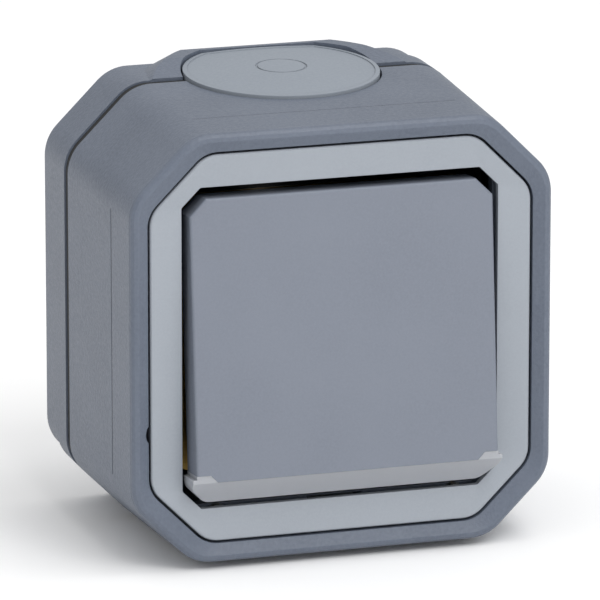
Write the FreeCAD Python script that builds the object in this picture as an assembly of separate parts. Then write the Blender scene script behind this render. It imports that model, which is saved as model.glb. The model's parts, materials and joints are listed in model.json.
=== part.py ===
"""Surface-mounted weatherproof rocker switch, one gang, with a cable gland on top.

Frame: millimetres, +Z up, +X to the right of a person who looks at the rocker.
The wall lies in the plane y = 0 and the rocker faces -Y. The origin is the middle of the
box's flat back, on the wall.

The rocker is shown as it is pressed at its top. Its parts are drawn upright about the hinge
line and then turned by rest_tilt. The contact lever is drawn level and turned by lever_tilt.
"""
import FreeCAD
import Part
import math
import os
from FreeCAD import Vector

# Enclosure
face_size = 74.0            # across the flats of the hood at its front rim
hood_draft = 1.35           # how much each side grows from the rim to the seam
rear_cut = 11.7             # leg of the cut corners at the seam
front_cut = 11.0            # leg of the cut corners at the front rim
corner_round = 7.5          # rounding where a cut corner meets a flat
body_depth = 50.0           # wall plane to the front ridge of the hood
base_depth = 13.8           # wall plane to the front edge of the box
seam_gap = 2.3              # visible gap that holds the gasket
wall = 2.2                  # hood and box wall
floor = 2.2                 # back of the box

# Box details
flange_depth = 7.2          # height of the slightly smaller part next to the wall
flange_step = 0.4           # how much smaller it is on each side
band_edge = 0.3             # softened edge above that step
spigot_height = 5.0         # collar that stands up inside the hood
spigot_wall = 1.4
spigot_inset = 3.3          # outside of the collar in from the outside of the box
ledge_depth = 3.0           # thickness of the shelf that carries the collar
slot_edge = 13.35           # middle of a wall screw slot from the edge of the box
fixing_slot_width = 4.4
fixing_slot_length = 9.0
fixing_pad_height = 1.0
fixing_pad_rim = 2.4
back_relief = 0.7           # the back is sunk by this much inside its rim
back_rim = 3.2

# Gasket
gasket_width = 2.0
gasket_play = 0.2

# Hood front
rim_rise = 1.0              # ridge stands this far in front of the trim frame's outer edge
rim_round = 1.15            # outer rounding of the front rim, drawn as narrow bands
rim_bands = 3
rim_width = 1.3             # outside of the hood to the ridge
rim_slope = 1.85            # ridge to the seat of the trim frame
frame_gap = 0.45            # dark joint between hood and trim frame
frame_recess = 3.9          # depth of the seat of the trim frame
web_thickness = 2.0
web_clearance = 0.1         # web opening beyond the trim frame's opening
crease_back = 10.6          # fine split line behind the front ridge
crease_width = 0.4
crease_depth = 0.3
notch_height = 2.9          # small round pry notch in the left inner edge
notch_depth = 0.55
notch_drop = 13.9           # notch centre below the middle
notch_reach = 1.6

# Trim frame
frame_width = 5.6           # visible width of each side
frame_cut = 9.7
frame_round = 5.0
opening_cut = 3.3
opening_round = 0.6
frame_dish = 0.6            # inner edge lies this much deeper than the outer edge
frame_plate = 1.8
frame_rim = 0.9             # thickness of its outer edge, which overhangs the skirt
frame_undercut = 0.4
frame_skirt = 0.7
frame_edge = 0.2            # bevel of its outer edge
clip_width = 8.0
clip_thickness = 1.2
clip_inset = 1.8            # middle of each clip leg beyond the opening
clip_hook = 0.6
clip_length = 3.2           # leg below the web's front face
clip_play = 0.25
clip_catch_play = 0.05      # nose to the rear of the web

# Hood screws and their posts in the box
hood_screw_rise = 2.2       # screws beyond the opening, above and below it
hood_screw_inset = 6.8      # and in from its sides
hood_screw_radius = 1.45
hood_screw_head = 2.15
hood_screw_head_height = 1.5
hood_screw_length = 16.0
hood_post_radius = 3.2
screw_play = 0.2            # radial room of a screw in a through hole
driver_width = 0.7
driver_depth = 0.7
head_sides = 16             # screws are drawn with flat sides
shank_sides = 8

# Cable gland, centred on the seam
gland_radius = 16.9
gland_flat = 3.4            # the rear edge is cut off straight by this much
gland_rise = 1.65           # highest point of its crowned top above the box
gland_crown = 160.0         # radius of the crown
gland_crown_back = 7.0      # highest point behind the middle, so the front lies lower
pocket_depth = 1.4
pocket_play = 0.35
gland_lip = 6.8             # disc beyond the neck
gland_hole_play = 0.2
gland_flange_lip = 2.0      # inner flange beyond the neck
gland_flange_thickness = 1.2
gland_flange_play = 0.05
gland_skin = 1.1            # thin middle that a cable is pushed through
gland_bead = 0.8            # width of the raised bead round the disc
gland_bead_height = 0.18
mark_radius = 4.25
mark_width = 0.35
mark_depth = 0.2
boss_margin = 3.25          # level top of the box's collar beyond the disc
boss_shoulder = 3.55        # level top to foot of the collar
boss_height = 1.7
boss_front_height = 0.25
boss_ramp = 8.0             # length of its slope, behind the seam

# Rocker, in its own upright position
hinge_back = 7.0            # hinge line behind the trim frame's outer edge
rest_tilt = 4.85            # half of the rocker's travel, in degrees
cap_side_gap = 1.2          # face to the sides of the opening
cap_top_gap = 2.5
cap_top_cut = 2.9
cap_plate = 2.0
cap_side = 1.6
cap_skirt = 5.6
cap_edge_round = 0.45
step_height = 1.26          # how much higher the face ends at its two lower corners
step_width = 2.4
step_slope = 1.2
lens_side_gap = 0.5         # lens to the sides of the opening
lens_bottom_gap = 0.85
lens_drop = 4.1             # height of the lens's sloping front
lens_slope_depth = 4.3      # and how far it runs back
lens_back = 3.4             # rear of the lens ahead of the hinge line
lens_cut = 3.0
lens_round = 2.4
lens_arm_width = 4.0
lens_arm_offset = 10.0
lens_arm_thickness = 1.0
cradle_rim = 0.8            # cradle plate beyond the bearing ears
cradle_plate = 1.8
cradle_room = 1.2           # cradle plate to the top of the ears
cheek_thickness = 2.0
cheek_gap = 0.4             # cheek to bearing ear
cheek_radius = 2.3
pin_radius = 1.5
pin_play = 0.05
pin_end = 0.9               # pin beyond the bearing ear
hub_end = 2.0               # hub behind the hinge line
hub_wall = 1.5
hub_bore = 2.2
hub_floor = 4.6
hub_room = 0.9              # hub to the lid of the mechanism
rib_thickness = 1.2
rib_height = 1.6

# Mechanism housing
housing_inset = 5.0         # housing in from the sides of the opening
housing_cut = 3.0
housing_round = 0.8
nose_inset = 4.6            # part that stands through the plate's window, in from the housing
nose_height = 2.6           # in front of the plate's rear face
nose_wall = 2.0
chamber_wall = 3.2
partition_front = 12.5      # behind the plate's rear face
partition_thickness = 2.0
housing_skirt = 1.3         # housing beyond the terminal blocks
cover_thickness = 1.4
cover_play = 0.1
bearing_wall = 1.8
bearing_half = 4.2
housing_screw_inset = 2.1
housing_screw_radius = 0.95
housing_screw_head = 1.7
housing_screw_head_height = 0.9
housing_screw_length = 7.0

# Support plate
plate_margin = 2.7          # plate beyond the housing, at the sides
plate_rise = 1.2            # and above and below it
plate_thickness = 1.2
window_play = 0.3
ear_length = 3.0            # ear beyond its screw
ear_half_height = 6.0
plate_corner = 2.0
ear_corner = 1.5
plate_screw_radius = 1.45
plate_screw_head = 2.7
plate_screw_head_height = 1.6
plate_screw_length = 10.0
plate_post_radius = 3.4
ear_slot = 2.4              # sideways adjustment of the fixing holes

# Boot round the hub
boot_play = 0.5
boot_wall = 0.8
boot_height = 3.0
boot_flange_width = 3.3
boot_flange_thickness = 0.6

# Plunger and spring
plunger_play = 0.07
plunger_tip = 1.5
plunger_bands = 3           # narrow cones that round its tip
plunger_back = 0.5          # rear end ahead of the hinge line
plunger_gap = 0.15          # tip to the lever at mid travel
spring_wire = 0.25
spring_radius = 1.7
spring_turns = 4

# Contact lever
lever_tilt = 4.0
lever_half_width = 2.8
lever_thickness = 0.8
lever_flange_half = 3.2
lever_flange_thickness = 0.6
lever_flange_room = 0.5     # flange to the fixed strips
tip_inset = 4.0             # contacts in from the wall of the chamber
tip_radius = 1.5
tip_height = 0.6
fixed_tip_height = 0.6
contact_play = 0.14         # left between the closed contacts
pivot_play = 0.18
knife_half = 0.9
knife_inset = 1.2           # knife edge is this much shorter than the strip, at each end

# Terminals
strip_half_width = 3.2
strip_thickness = 0.8
strip_lap = 2.4             # fixed strip beyond the middle of its contact
leg_inset = 1.0             # legs in from the wall of the chamber
block_half = 3.6
block_depth = 6.2
block_outer = 4.0           # block beyond the leg
wire_radius = 1.6
terminal_pocket_play = 0.5
terminal_screw_radius = 1.25
terminal_screw_head = 2.4
terminal_screw_head_height = 1.6
terminal_screw_length = 4.0
terminal_screw_room = 0.1   # screw tip to the empty wire hole
wire_entry_play = 0.5

# Sizes worked out from the driving dimensions
base_size = face_size + 2 * hood_draft
frame_size = face_size - 2 * (rim_width + rim_slope + frame_gap)
opening_size = frame_size - 2 * frame_width
opening_half = opening_size / 2
hood_screw_x = opening_half - hood_screw_inset
hood_screw_z = opening_half + hood_screw_rise
plate_screw_x = hood_screw_z
fixing_spacing = base_size - 2 * slot_edge
notch_radius = (notch_height ** 2 / 4 + notch_depth ** 2) / (2 * notch_depth)
clip_offset = opening_half + clip_inset
gland_chord = gland_radius - gland_flat
gland_neck = gland_radius - gland_lip
gland_flange = gland_neck + gland_flange_lip
boss_top = gland_radius + boss_margin
boss_foot = boss_top + boss_shoulder
housing_half = opening_half - housing_inset
nose_half = housing_half - nose_inset
chamber_half = nose_half - chamber_wall
housing_screw_offset = housing_half - housing_screw_inset
plate_half_width = housing_half + plate_margin
plate_half_height = housing_half + plate_rise
plate_window = nose_half + window_play
ear_reach = plate_screw_x + ear_length
face_lead = bearing_half + cradle_room + cradle_plate + cap_plate
cap_half_width = opening_half - cap_side_gap
cap_top = opening_half - cap_top_gap
lens_half_width = opening_half - lens_side_gap
lens_bottom = opening_half - lens_bottom_gap
lens_front = face_lead - lens_slope_depth
cap_bottom = lens_bottom - lens_drop
cradle_half = nose_half + cradle_rim
lens_arm_top = cradle_half - cradle_plate
hub_radius = hub_bore + hub_wall
cover_hole = hub_radius - hub_wall / 4
boot_inner = hub_radius + boot_play
boot_flange = boot_inner + boot_flange_width
leg_offset = chamber_half - leg_inset
tip_offset = chamber_half - tip_inset
lever_half = tip_offset + tip_radius
lever_swing = math.radians(lever_tilt)
tip_reach = tip_height * math.cos(lever_swing) + lever_half * math.sin(lever_swing)
pivot_lift = tip_reach + contact_play + fixed_tip_height
strip_inner = tip_offset - strip_lap
lever_flange_depth = pivot_lift - lever_flange_room
terminal_screw_out = terminal_screw_length - block_depth / 2 + wire_radius + terminal_screw_room
wire_entry_radius = wire_radius + wire_entry_play

# Planes worked out from the driving dimensions
y_base_front = -base_depth
y_hood_back = y_base_front - seam_gap
y_ridge = -body_depth
y_frame = y_ridge + rim_rise
y_web_front = y_frame + frame_recess
y_web_back = y_web_front + web_thickness
y_hinge = y_frame + hinge_back
y_nose = y_hinge + hub_end + hub_room
y_plate_back = y_nose + nose_height
y_plate_front = y_plate_back - plate_thickness
y_cover_back = y_nose + cover_thickness
y_partition = y_plate_back + partition_front
y_partition_back = y_partition + partition_thickness
y_block_back = y_partition_back + block_depth
y_housing_back = y_block_back + housing_skirt
y_pivot = y_partition - strip_thickness - pivot_lift
plunger_reach = y_pivot - y_hinge - lever_thickness - plunger_gap
y_gland = (y_base_front + y_hood_back) / 2
y_crown = y_gland + gland_crown_back
z_flat = base_size / 2
z_inside = z_flat - flange_step - wall - gland_flange_play
z_pocket = z_flat - pocket_depth
z_crown = z_flat + gland_rise
offset_cut = 2 - math.sqrt(2)   # growth of a cut corner's leg for each unit of offset


def corner_arc(before, corner, after, radius):
    """Start, middle and end of the arc that rounds one corner of an outline."""
    to_before = (before - corner).normalize()
    to_after = (after - corner).normalize()
    half_angle = to_before.getAngle(to_after) / 2
    reach = radius / math.tan(half_angle)
    bisector = (to_before + to_after).normalize()
    centre = corner + bisector * (radius / math.sin(half_angle))
    return corner + to_before * reach, centre - bisector * radius, corner + to_after * reach


def rounded_outline(points, radii):
    """Closed wire through the points, with each corner rounded by its radius (0 leaves it sharp)."""
    stations = []
    count = len(points)
    for i in range(count):
        if radii[i] > 0:
            stations.append(corner_arc(points[i - 1], points[i], points[(i + 1) % count], radii[i]))
        else:
            stations.append((points[i],))
    edges = []
    for i in range(count):
        if len(stations[i]) == 3:
            edges.append(Part.Arc(*stations[i]).toShape())
        start = stations[i][-1]
        end = stations[(i + 1) % count][0]
        edges.append(Part.makeLine(start, end))
    return Part.Wire(edges)


def octagon(size, cut, radius, y):
    """Square of the given size in the plane y, with cut corners, each end of a cut rounded."""
    h = size / 2
    k = h - cut
    corners = [(k, h), (h, k), (h, -k), (k, -h), (-k, -h), (-h, -k), (-h, k), (-k, h)]
    points = [Vector(x, y, z) for x, z in corners]
    return rounded_outline(points, [radius] * len(points))


def prism(wire, depth):
    """Solid from a closed wire, drawn out along +Y."""
    return Part.Face(wire).extrude(Vector(0, depth, 0))


def octagon_prism(size, cut, radius, y0, y1):
    return prism(octagon(size, cut, radius, y0), y1 - y0)


def octagon_loft(front, back):
    """Straight-sided solid between two octagons, each given as (size, cut, radius, y)."""
    return Part.makeLoft([octagon(*front), octagon(*back)], True, True)


def hood_share(y):
    """0 at the hood's front ridge and 1 at the seam."""
    return (y - y_ridge) / (y_hood_back - y_ridge)


def hood_section(inset, y):
    """Size, cut, rounding and plane of the hood's drafted outline, drawn in by inset."""
    size = face_size + (base_size - face_size) * hood_share(y) - 2 * inset
    cut = front_cut + (rear_cut - front_cut) * hood_share(y) - inset * offset_cut
    return size, cut, corner_round - inset, y


def block(x0, x1, y0, y1, z0, z1):
    return Part.makeBox(x1 - x0, y1 - y0, z1 - z0, Vector(x0, y0, z0))


def rod_y(radius, x, z, y0, y1):
    return Part.makeCylinder(radius, y1 - y0, Vector(x, y0, z), Vector(0, 1, 0))


def rod_x(radius, y, z, x0, x1):
    return Part.makeCylinder(radius, x1 - x0, Vector(x0, y, z), Vector(1, 0, 0))


def rod_z(radius, x, y, z0, z1):
    return Part.makeCylinder(radius, z1 - z0, Vector(x, y, z0), Vector(0, 0, 1))


def side_profile(points, x0, x1):
    """Solid with the given outline of (y, z) points, drawn out from x0 to x1."""
    corners = [Vector(x0, y, z) for y, z in points]
    return Part.Face(Part.makePolygon(corners + corners[:1])).extrude(Vector(x1 - x0, 0, 0))


def front_profile(points, y0, y1):
    """Solid with the given outline of (x, z) points, drawn out from y0 to y1."""
    corners = [Vector(x, y0, z) for x, z in points]
    return Part.Face(Part.makePolygon(corners + corners[:1])).extrude(Vector(0, y1 - y0, 0))


def turned_y(points):
    """Solid of revolution about the Y axis from (radius, y) points."""
    corners = [Vector(r, y, 0) for r, y in points]
    face = Part.Face(Part.makePolygon(corners + corners[:1]))
    return face.revolve(Vector(0, 0, 0), Vector(0, 1, 0), 360)


def edges_at(shape, y, z_low=-1000.0):
    """Edges that lie wholly in the plane y and above z_low."""
    found = []
    for edge in shape.Edges:
        box = edge.BoundBox
        if abs(box.YMin - y) < 1e-4 and abs(box.YMax - y) < 1e-4 and box.ZMin > z_low:
            found.append(edge)
    return found


def joined(shapes):
    """One solid from shapes that meet or overlap."""
    return shapes[0].multiFuse(shapes[1:]).removeSplitter()


def each_sign():
    return [(sx, sz) for sx in (-1, 1) for sz in (-1, 1)]


def faceted_rod_y(radius, sides, x, z, y0, y1):
    """Prism whose corners lie on a circle, for the many small screws."""
    turns = [2 * math.pi * (i + 0.5) / sides for i in range(sides)]
    points = [(x + radius * math.cos(a), z + radius * math.sin(a)) for a in turns]
    return front_profile(points, y0, y1)


def slotted_screw(radius, head, head_height, length, x, z, y_seat):
    """Flat-topped screw along Y: its head lies in front of y_seat, its shank behind it."""
    head_part = faceted_rod_y(head, head_sides, x, z, y_seat - head_height, y_seat)
    shank = faceted_rod_y(radius, shank_sides, x, z, y_seat, y_seat + length)
    slot_low = y_seat - head_height
    slot = block(x - head, x + head, slot_low, slot_low + driver_depth,
                 z - driver_width / 2, z + driver_width / 2)
    return joined([head_part, shank]).cut(slot)


def rocker_place(shape):
    """From the rocker's own upright drawing, hinge line at y = 0, to its rest position."""
    placed = shape.copy()
    placed.rotate(Vector(0, 0, 0), Vector(1, 0, 0), -rest_tilt)
    placed.translate(Vector(0, y_hinge, 0))
    return placed


def lever_place(shape):
    """From the lever's level drawing, pivot line at y = 0, to its rest position."""
    placed = shape.copy()
    placed.rotate(Vector(0, 0, 0), Vector(1, 0, 0), lever_tilt)
    placed.translate(Vector(0, y_pivot, 0))
    return placed


def gland_disc(radius, chord, z0, z1):
    """Round disc with a flat rear edge, on the gland's axis."""
    disc = rod_z(radius, 0, y_gland, z0, z1)
    keep = block(-radius, radius, y_gland - radius, y_gland + chord, z0, z1)
    return disc.common(keep)


def below_crown(drop):
    """Ball whose top is the gland's crowned face, lowered by drop."""
    return Part.makeSphere(gland_crown, Vector(0, y_crown, z_crown - gland_crown - drop))


def gland_opening():
    """Room for the gland's disc and neck in the hood and the box."""
    top = z_flat + boss_height + 1
    pocket = gland_disc(gland_radius + pocket_play, gland_chord + pocket_play, z_pocket, top)
    hole = rod_z(gland_neck + gland_hole_play, 0, y_gland, z_inside - wall, top)
    return pocket.fuse(hole)


def gland_inner_room():
    """Room for the gland's inner flange, below the wall."""
    low = z_inside - gland_flange_thickness - spigot_inset
    return rod_z(gland_flange + pocket_play, 0, y_gland, low, z_inside)


def boss():
    """Collar round the gland: it climbs from the seam, then runs level to the wall."""
    low = z_flat - wall
    foot = z_flat - flange_step
    top = z_flat + boss_height
    collar = Part.makeCone(boss_foot, boss_top, top - foot, Vector(0, y_gland, foot), Vector(0, 0, 1))
    base = rod_z(boss_foot, 0, y_gland, low, foot)
    keep = side_profile([(y_base_front, low), (y_base_front, z_flat + boss_front_height),
                         (y_base_front + boss_ramp, top), (0, top), (0, low)],
                        -boss_foot, boss_foot)
    return joined([collar, base]).common(keep)


def fixing_slot(z, grow, y0, y1):
    """Upright slot through the back of the box, grown all round by grow."""
    radius = fixing_slot_width / 2 + grow
    travel = (fixing_slot_length - fixing_slot_width) / 2
    ends = [rod_y(radius, 0, z + travel * s, y0, y1) for s in (-1, 1)]
    middle = block(-radius, radius, y0, y1, z - travel, z + travel)
    return joined([ends[0], middle, ends[1]])


def back_hollow():
    """Shallow relief in the back of the box, inside its rim, round the pads of the slots."""
    inset = flange_step + back_rim
    hollow = octagon_prism(base_size - 2 * inset, rear_cut - inset * offset_cut,
                           corner_round - back_rim, -back_relief, 0)
    pads = [fixing_slot(sz * fixing_spacing / 2, fixing_pad_rim, -back_relief, 0) for sz in (-1, 1)]
    return hollow.cut(pads)


def back_box():
    """Moulded box: walls, collar, posts, wall screw slots and the pad for the gland."""
    flange_size = base_size - 2 * flange_step
    inner_size = base_size - 2 * (wall + flange_step)
    inner_cut = rear_cut - (wall + flange_step) * offset_cut
    spigot_size = base_size - 2 * spigot_inset
    spigot_cut = rear_cut - spigot_inset * offset_cut
    bore_size = spigot_size - 2 * spigot_wall
    bore_cut = spigot_cut - spigot_wall * offset_cut
    band = octagon_prism(base_size, rear_cut, corner_round, y_base_front, -flange_depth)
    band = band.makeChamfer(band_edge, edges_at(band, -flange_depth))
    flange = octagon_prism(flange_size, rear_cut, corner_round, -flange_depth, 0)
    spigot = octagon_prism(spigot_size, spigot_cut, corner_round - spigot_inset,
                           y_base_front - spigot_height, y_base_front)
    body = joined([band, flange, spigot, boss()])
    deep = octagon_prism(inner_size, inner_cut, corner_round - wall,
                         y_base_front + ledge_depth, -floor)
    mouth = octagon_prism(bore_size, bore_cut, corner_round - spigot_inset - spigot_wall,
                          y_base_front - spigot_height, -floor)
    body = body.cut(deep).cut(mouth)
    posts = []
    for sx, sz in each_sign():
        posts.append(rod_y(hood_post_radius, sx * hood_screw_x, sz * hood_screw_z, y_web_back, -floor))
    for sx in (-1, 1):
        posts.append(rod_y(plate_post_radius, sx * plate_screw_x, 0, y_plate_back, -floor))
    pads = []
    for sz in (-1, 1):
        pads.append(fixing_slot(sz * fixing_spacing / 2, fixing_pad_rim,
                                -floor - fixing_pad_height, -floor))
    body = joined([body] + posts + pads)
    tools = [gland_opening(), gland_inner_room()]
    for sz in (-1, 1):
        tools.append(fixing_slot(sz * fixing_spacing / 2, 0, -floor - fixing_pad_height, 0))
    for sx, sz in each_sign():
        tools.append(rod_y(hood_screw_radius, sx * hood_screw_x, sz * hood_screw_z,
                           y_web_back, y_web_front + hood_screw_length))
    for sx in (-1, 1):
        tools.append(rod_y(plate_screw_radius, sx * plate_screw_x, 0,
                           y_plate_back, y_plate_front + plate_screw_length))
    return body.cut(tools + [back_hollow()])


def box_gasket():
    """Rubber ring in the seam, round the collar, left open at the gland."""
    inner_inset = spigot_inset - gasket_play
    outer_inset = inner_inset - gasket_width
    outer = octagon_prism(base_size - 2 * outer_inset, rear_cut - outer_inset * offset_cut,
                          corner_round - outer_inset, y_hood_back, y_base_front)
    inner = octagon_prism(base_size - 2 * inner_inset, rear_cut - inner_inset * offset_cut,
                          corner_round - inner_inset, y_hood_back, y_base_front)
    neck = rod_z(gland_radius + pocket_play, 0, y_gland, z_inside - wall - gland_flange_thickness, z_flat + 1)
    return outer.cut([inner, neck])


def cable_gland():
    """Soft entry: a crowned disc outside, a neck through the wall and a flange inside."""
    z_seat = z_inside - gland_flange_thickness
    disc = gland_disc(gland_radius, gland_chord, z_pocket, z_crown).common(below_crown(0))
    neck = rod_z(gland_neck, 0, y_gland, z_seat, z_pocket)
    flange = rod_z(gland_flange, 0, y_gland, z_seat, z_inside)
    dish = gland_disc(gland_radius - gland_bead, gland_chord - gland_bead, z_pocket, z_crown)
    dish = dish.cut(below_crown(gland_bead_height))
    hollow = rod_z(gland_neck - 2 * gland_skin, 0, y_gland, z_seat, z_flat)
    mark = rod_z(mark_radius + mark_width / 2, 0, y_gland, z_flat, z_crown)
    mark = mark.cut(rod_z(mark_radius - mark_width / 2, 0, y_gland, z_flat, z_crown))
    mark = mark.cut(below_crown(gland_bead_height + mark_depth))
    return joined([disc, neck, flange]).cut([dish, hollow, mark])


def crease_tools():
    """Shallow V groove along the middle of each flat wall of the hood."""
    y = y_ridge + crease_back
    size, cut, rounding, y = hood_section(0, y)
    z = size / 2
    reach = z - cut - rounding * math.tan(math.pi / 8)
    section = [(y - crease_width, z + crease_depth), (y + crease_width, z + crease_depth),
               (y, z - crease_depth)]
    return four_sides(side_profile(section, -reach, reach))


def clip_leg(grow, y0, y1):
    """Leg of a trim frame clip at the top side, grown by grow."""
    half = clip_width / 2 + grow
    inner = clip_offset - clip_thickness / 2 - grow
    return block(-half, half, y0, y1, inner, inner + clip_thickness + 2 * grow)


def clip_hooked():
    """Leg with a nose that catches behind the web."""
    leg = clip_leg(0, y_frame + frame_plate, y_web_front + clip_length)
    outer = clip_offset + clip_thickness / 2
    catch = y_web_back + clip_catch_play
    nose = side_profile([(catch, outer), (catch, outer + clip_hook),
                         (y_web_front + clip_length, outer)],
                        -clip_width / 2, clip_width / 2)
    return leg.fuse(nose)


def four_sides(shape):
    """The shape at the top side and its copies at the other three sides."""
    copies = []
    for turn in range(4):
        copy = shape.copy()
        copy.rotate(Vector(0, 0, 0), Vector(0, 1, 0), 90 * turn)
        copies.append(copy)
    return copies


def frame_seat(grow, y):
    """Outline of the trim frame, grown by grow."""
    return octagon(frame_size + 2 * grow, frame_cut + grow * offset_cut, frame_round + grow, y)


def hood_outside():
    """Drafted outside of the hood, its front edge rounded by narrow bands."""
    sections = []
    for step in range(rim_bands + 1):
        angle = math.pi / 2 * step / rim_bands
        sections.append(hood_section(rim_round * (1 - math.sin(angle)),
                                     y_ridge + rim_round * (1 - math.cos(angle))))
    sections.append(hood_section(0, y_hood_back))
    return Part.makeLoft([octagon(*section) for section in sections], True, True)


def hood():
    """Front cover: walls, raised rim, seat for the trim frame and the web behind it."""
    seat_wire = frame_seat(frame_gap, y_frame)
    dish = Part.makeLoft([octagon(*hood_section(rim_width, y_ridge)), seat_wire], True, True)
    seat = prism(seat_wire, frame_recess)
    room = octagon_loft(hood_section(wall, y_web_back), hood_section(wall, y_hood_back))
    window = octagon_prism(opening_size + 2 * web_clearance, opening_cut, opening_round,
                           y_web_front, y_web_back)
    notch_x = notch_radius - notch_depth - frame_gap - frame_size / 2
    notch = rod_y(notch_radius, notch_x, -notch_drop, y_ridge, y_frame + notch_reach)
    tools = [dish, seat, room, window, notch, gland_opening()]
    tools += crease_tools()
    tools += four_sides(clip_leg(clip_play + clip_hook, y_web_front, y_web_back))
    for sx, sz in each_sign():
        tools.append(rod_y(hood_screw_radius + screw_play, sx * hood_screw_x, sz * hood_screw_z,
                           y_web_front, y_web_back))
    return hood_outside().cut(tools)


def hood_screws():
    screws = []
    for sx, sz in each_sign():
        screws.append(slotted_screw(hood_screw_radius, hood_screw_head, hood_screw_head_height,
                                    hood_screw_length, sx * hood_screw_x, sz * hood_screw_z,
                                    y_web_front))
    return Part.makeCompound(screws)


def trim_frame():
    """Light frame round the rocker: a dished plate, a skirt that stands on the web and clips."""
    y_inner = y_frame + frame_dish
    y_plate_rear = y_frame + frame_plate
    rim = prism(frame_seat(0, y_frame), frame_rim)
    rim = rim.makeChamfer(frame_edge, edges_at(rim, y_frame))
    plate = rim.fuse(prism(frame_seat(-frame_undercut, y_frame + frame_rim), frame_plate - frame_rim))
    dish = Part.makeLoft([frame_seat(-2 * frame_edge, y_frame),
                          octagon(opening_size, opening_cut, opening_round, y_inner)], True, True)
    opening = octagon_prism(opening_size, opening_cut, opening_round, y_frame, y_plate_rear)
    skirt_depth = y_web_front - y_plate_rear
    skirt = prism(frame_seat(-frame_undercut, y_plate_rear), skirt_depth)
    skirt = skirt.cut(prism(frame_seat(-frame_undercut - frame_skirt, y_plate_rear), skirt_depth))
    body = plate.cut([dish, opening])
    return joined([body, skirt] + four_sides(clip_hooked()))


def support_plate():
    """Stamped steel plate with two slotted ears, carries the mechanism."""
    points = [(-plate_half_width, plate_half_height), (plate_half_width, plate_half_height),
              (plate_half_width, ear_half_height), (ear_reach, ear_half_height),
              (ear_reach, -ear_half_height), (plate_half_width, -ear_half_height),
              (plate_half_width, -plate_half_height), (-plate_half_width, -plate_half_height),
              (-plate_half_width, -ear_half_height), (-ear_reach, -ear_half_height),
              (-ear_reach, ear_half_height), (-plate_half_width, ear_half_height)]
    corners = [Vector(x, y_plate_front, z) for x, z in points]
    radii = [plate_corner, plate_corner, 0, ear_corner, ear_corner, 0] * 2
    plate = prism(rounded_outline(corners, radii), plate_thickness)
    tools = [block(-plate_window, plate_window, y_plate_front, y_plate_back,
                   -plate_window, plate_window)]
    hole = plate_screw_radius + screw_play
    for sx in (-1, 1):
        for end in (-1, 1):
            tools.append(rod_y(hole, sx * plate_screw_x + end * ear_slot / 2, 0,
                               y_plate_front, y_plate_back))
        tools.append(block(sx * plate_screw_x - ear_slot / 2, sx * plate_screw_x + ear_slot / 2,
                           y_plate_front, y_plate_back, -hole, hole))
    for x, z in housing_screw_places():
        tools.append(rod_y(housing_screw_radius + screw_play, x, z, y_plate_front, y_plate_back))
    return plate.cut(tools)


def plate_screws():
    screws = []
    for sx in (-1, 1):
        screws.append(slotted_screw(plate_screw_radius, plate_screw_head, plate_screw_head_height,
                                    plate_screw_length, sx * plate_screw_x, 0, y_plate_front))
    return Part.makeCompound(screws)


def housing_screw_places():
    """The two screws lie on one diagonal of the housing."""
    return [(-housing_screw_offset, housing_screw_offset), (housing_screw_offset, -housing_screw_offset)]


def housing_screws():
    screws = []
    for x, z in housing_screw_places():
        screws.append(slotted_screw(housing_screw_radius, housing_screw_head,
                                    housing_screw_head_height, housing_screw_length,
                                    x, z, y_plate_front))
    return Part.makeCompound(screws)


def terminal_places():
    """Angle about the Y axis of each terminal: upper, lower and common (to the side)."""
    return {"upper": 0, "lower": 180, "common": 90}


def at_terminal(shape, name):
    placed = shape.copy()
    placed.rotate(Vector(0, 0, 0), Vector(0, 1, 0), terminal_places()[name])
    return placed


def terminal_pocket():
    """Room behind the partition for one terminal block, its leg and its wire."""
    side = block_half + terminal_pocket_play
    low = leg_offset - strip_thickness - terminal_pocket_play
    high = leg_offset + block_outer + terminal_pocket_play
    pocket = block(-side, side, y_partition_back, y_housing_back, low, high)
    leg = block(-strip_half_width, strip_half_width, y_partition, y_partition_back,
                leg_offset - strip_thickness, leg_offset)
    entry = rod_z(wire_entry_radius, 0, y_partition_back + block_depth / 2, high, housing_half)
    return pocket.fuse([leg, entry])


def bearing_ears():
    """Two ears with a rounded top that hold the rocker's pins."""
    ears = []
    for side in (-1, 1):
        inner = side * (nose_half - bearing_wall)
        outer = side * nose_half
        x0 = min(inner, outer)
        x1 = max(inner, outer)
        ear = block(x0, x1, y_hinge, y_nose, -bearing_half, bearing_half)
        top = rod_x(bearing_half, y_hinge, 0, x0, x1)
        ears.append(ear.fuse(top))
    return ears


def mechanism_housing():
    """Insulating body: contact chamber in front, three terminal pockets behind, bearing ears."""
    rear = octagon_prism(2 * housing_half, housing_cut, housing_round, y_plate_back, y_housing_back)
    nose = block(-nose_half, nose_half, y_nose, y_plate_back, -nose_half, nose_half)
    body = joined([rear, nose] + bearing_ears())
    lid_half = nose_half - nose_wall
    lid_room = block(-lid_half, lid_half, y_nose, y_cover_back, -lid_half, lid_half)
    chamber = block(-chamber_half, chamber_half, y_cover_back, y_partition,
                    -chamber_half, chamber_half)
    pins = rod_x(pin_radius + pin_play, y_hinge, 0, -nose_half, nose_half)
    tools = [lid_room, chamber, pins]
    for name in terminal_places():
        tools.append(at_terminal(terminal_pocket(), name))
    for x, z in housing_screw_places():
        tools.append(rod_y(housing_screw_radius, x, z, y_plate_back, y_plate_front + housing_screw_length))
    return body.cut(tools)


def housing_cover():
    """Lid of the contact chamber, with the hole that the plunger passes."""
    half = nose_half - nose_wall - cover_play
    lid = block(-half, half, y_nose, y_cover_back, -half, half)
    return lid.cut(rod_y(cover_hole, 0, 0, y_nose, y_cover_back))


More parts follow.
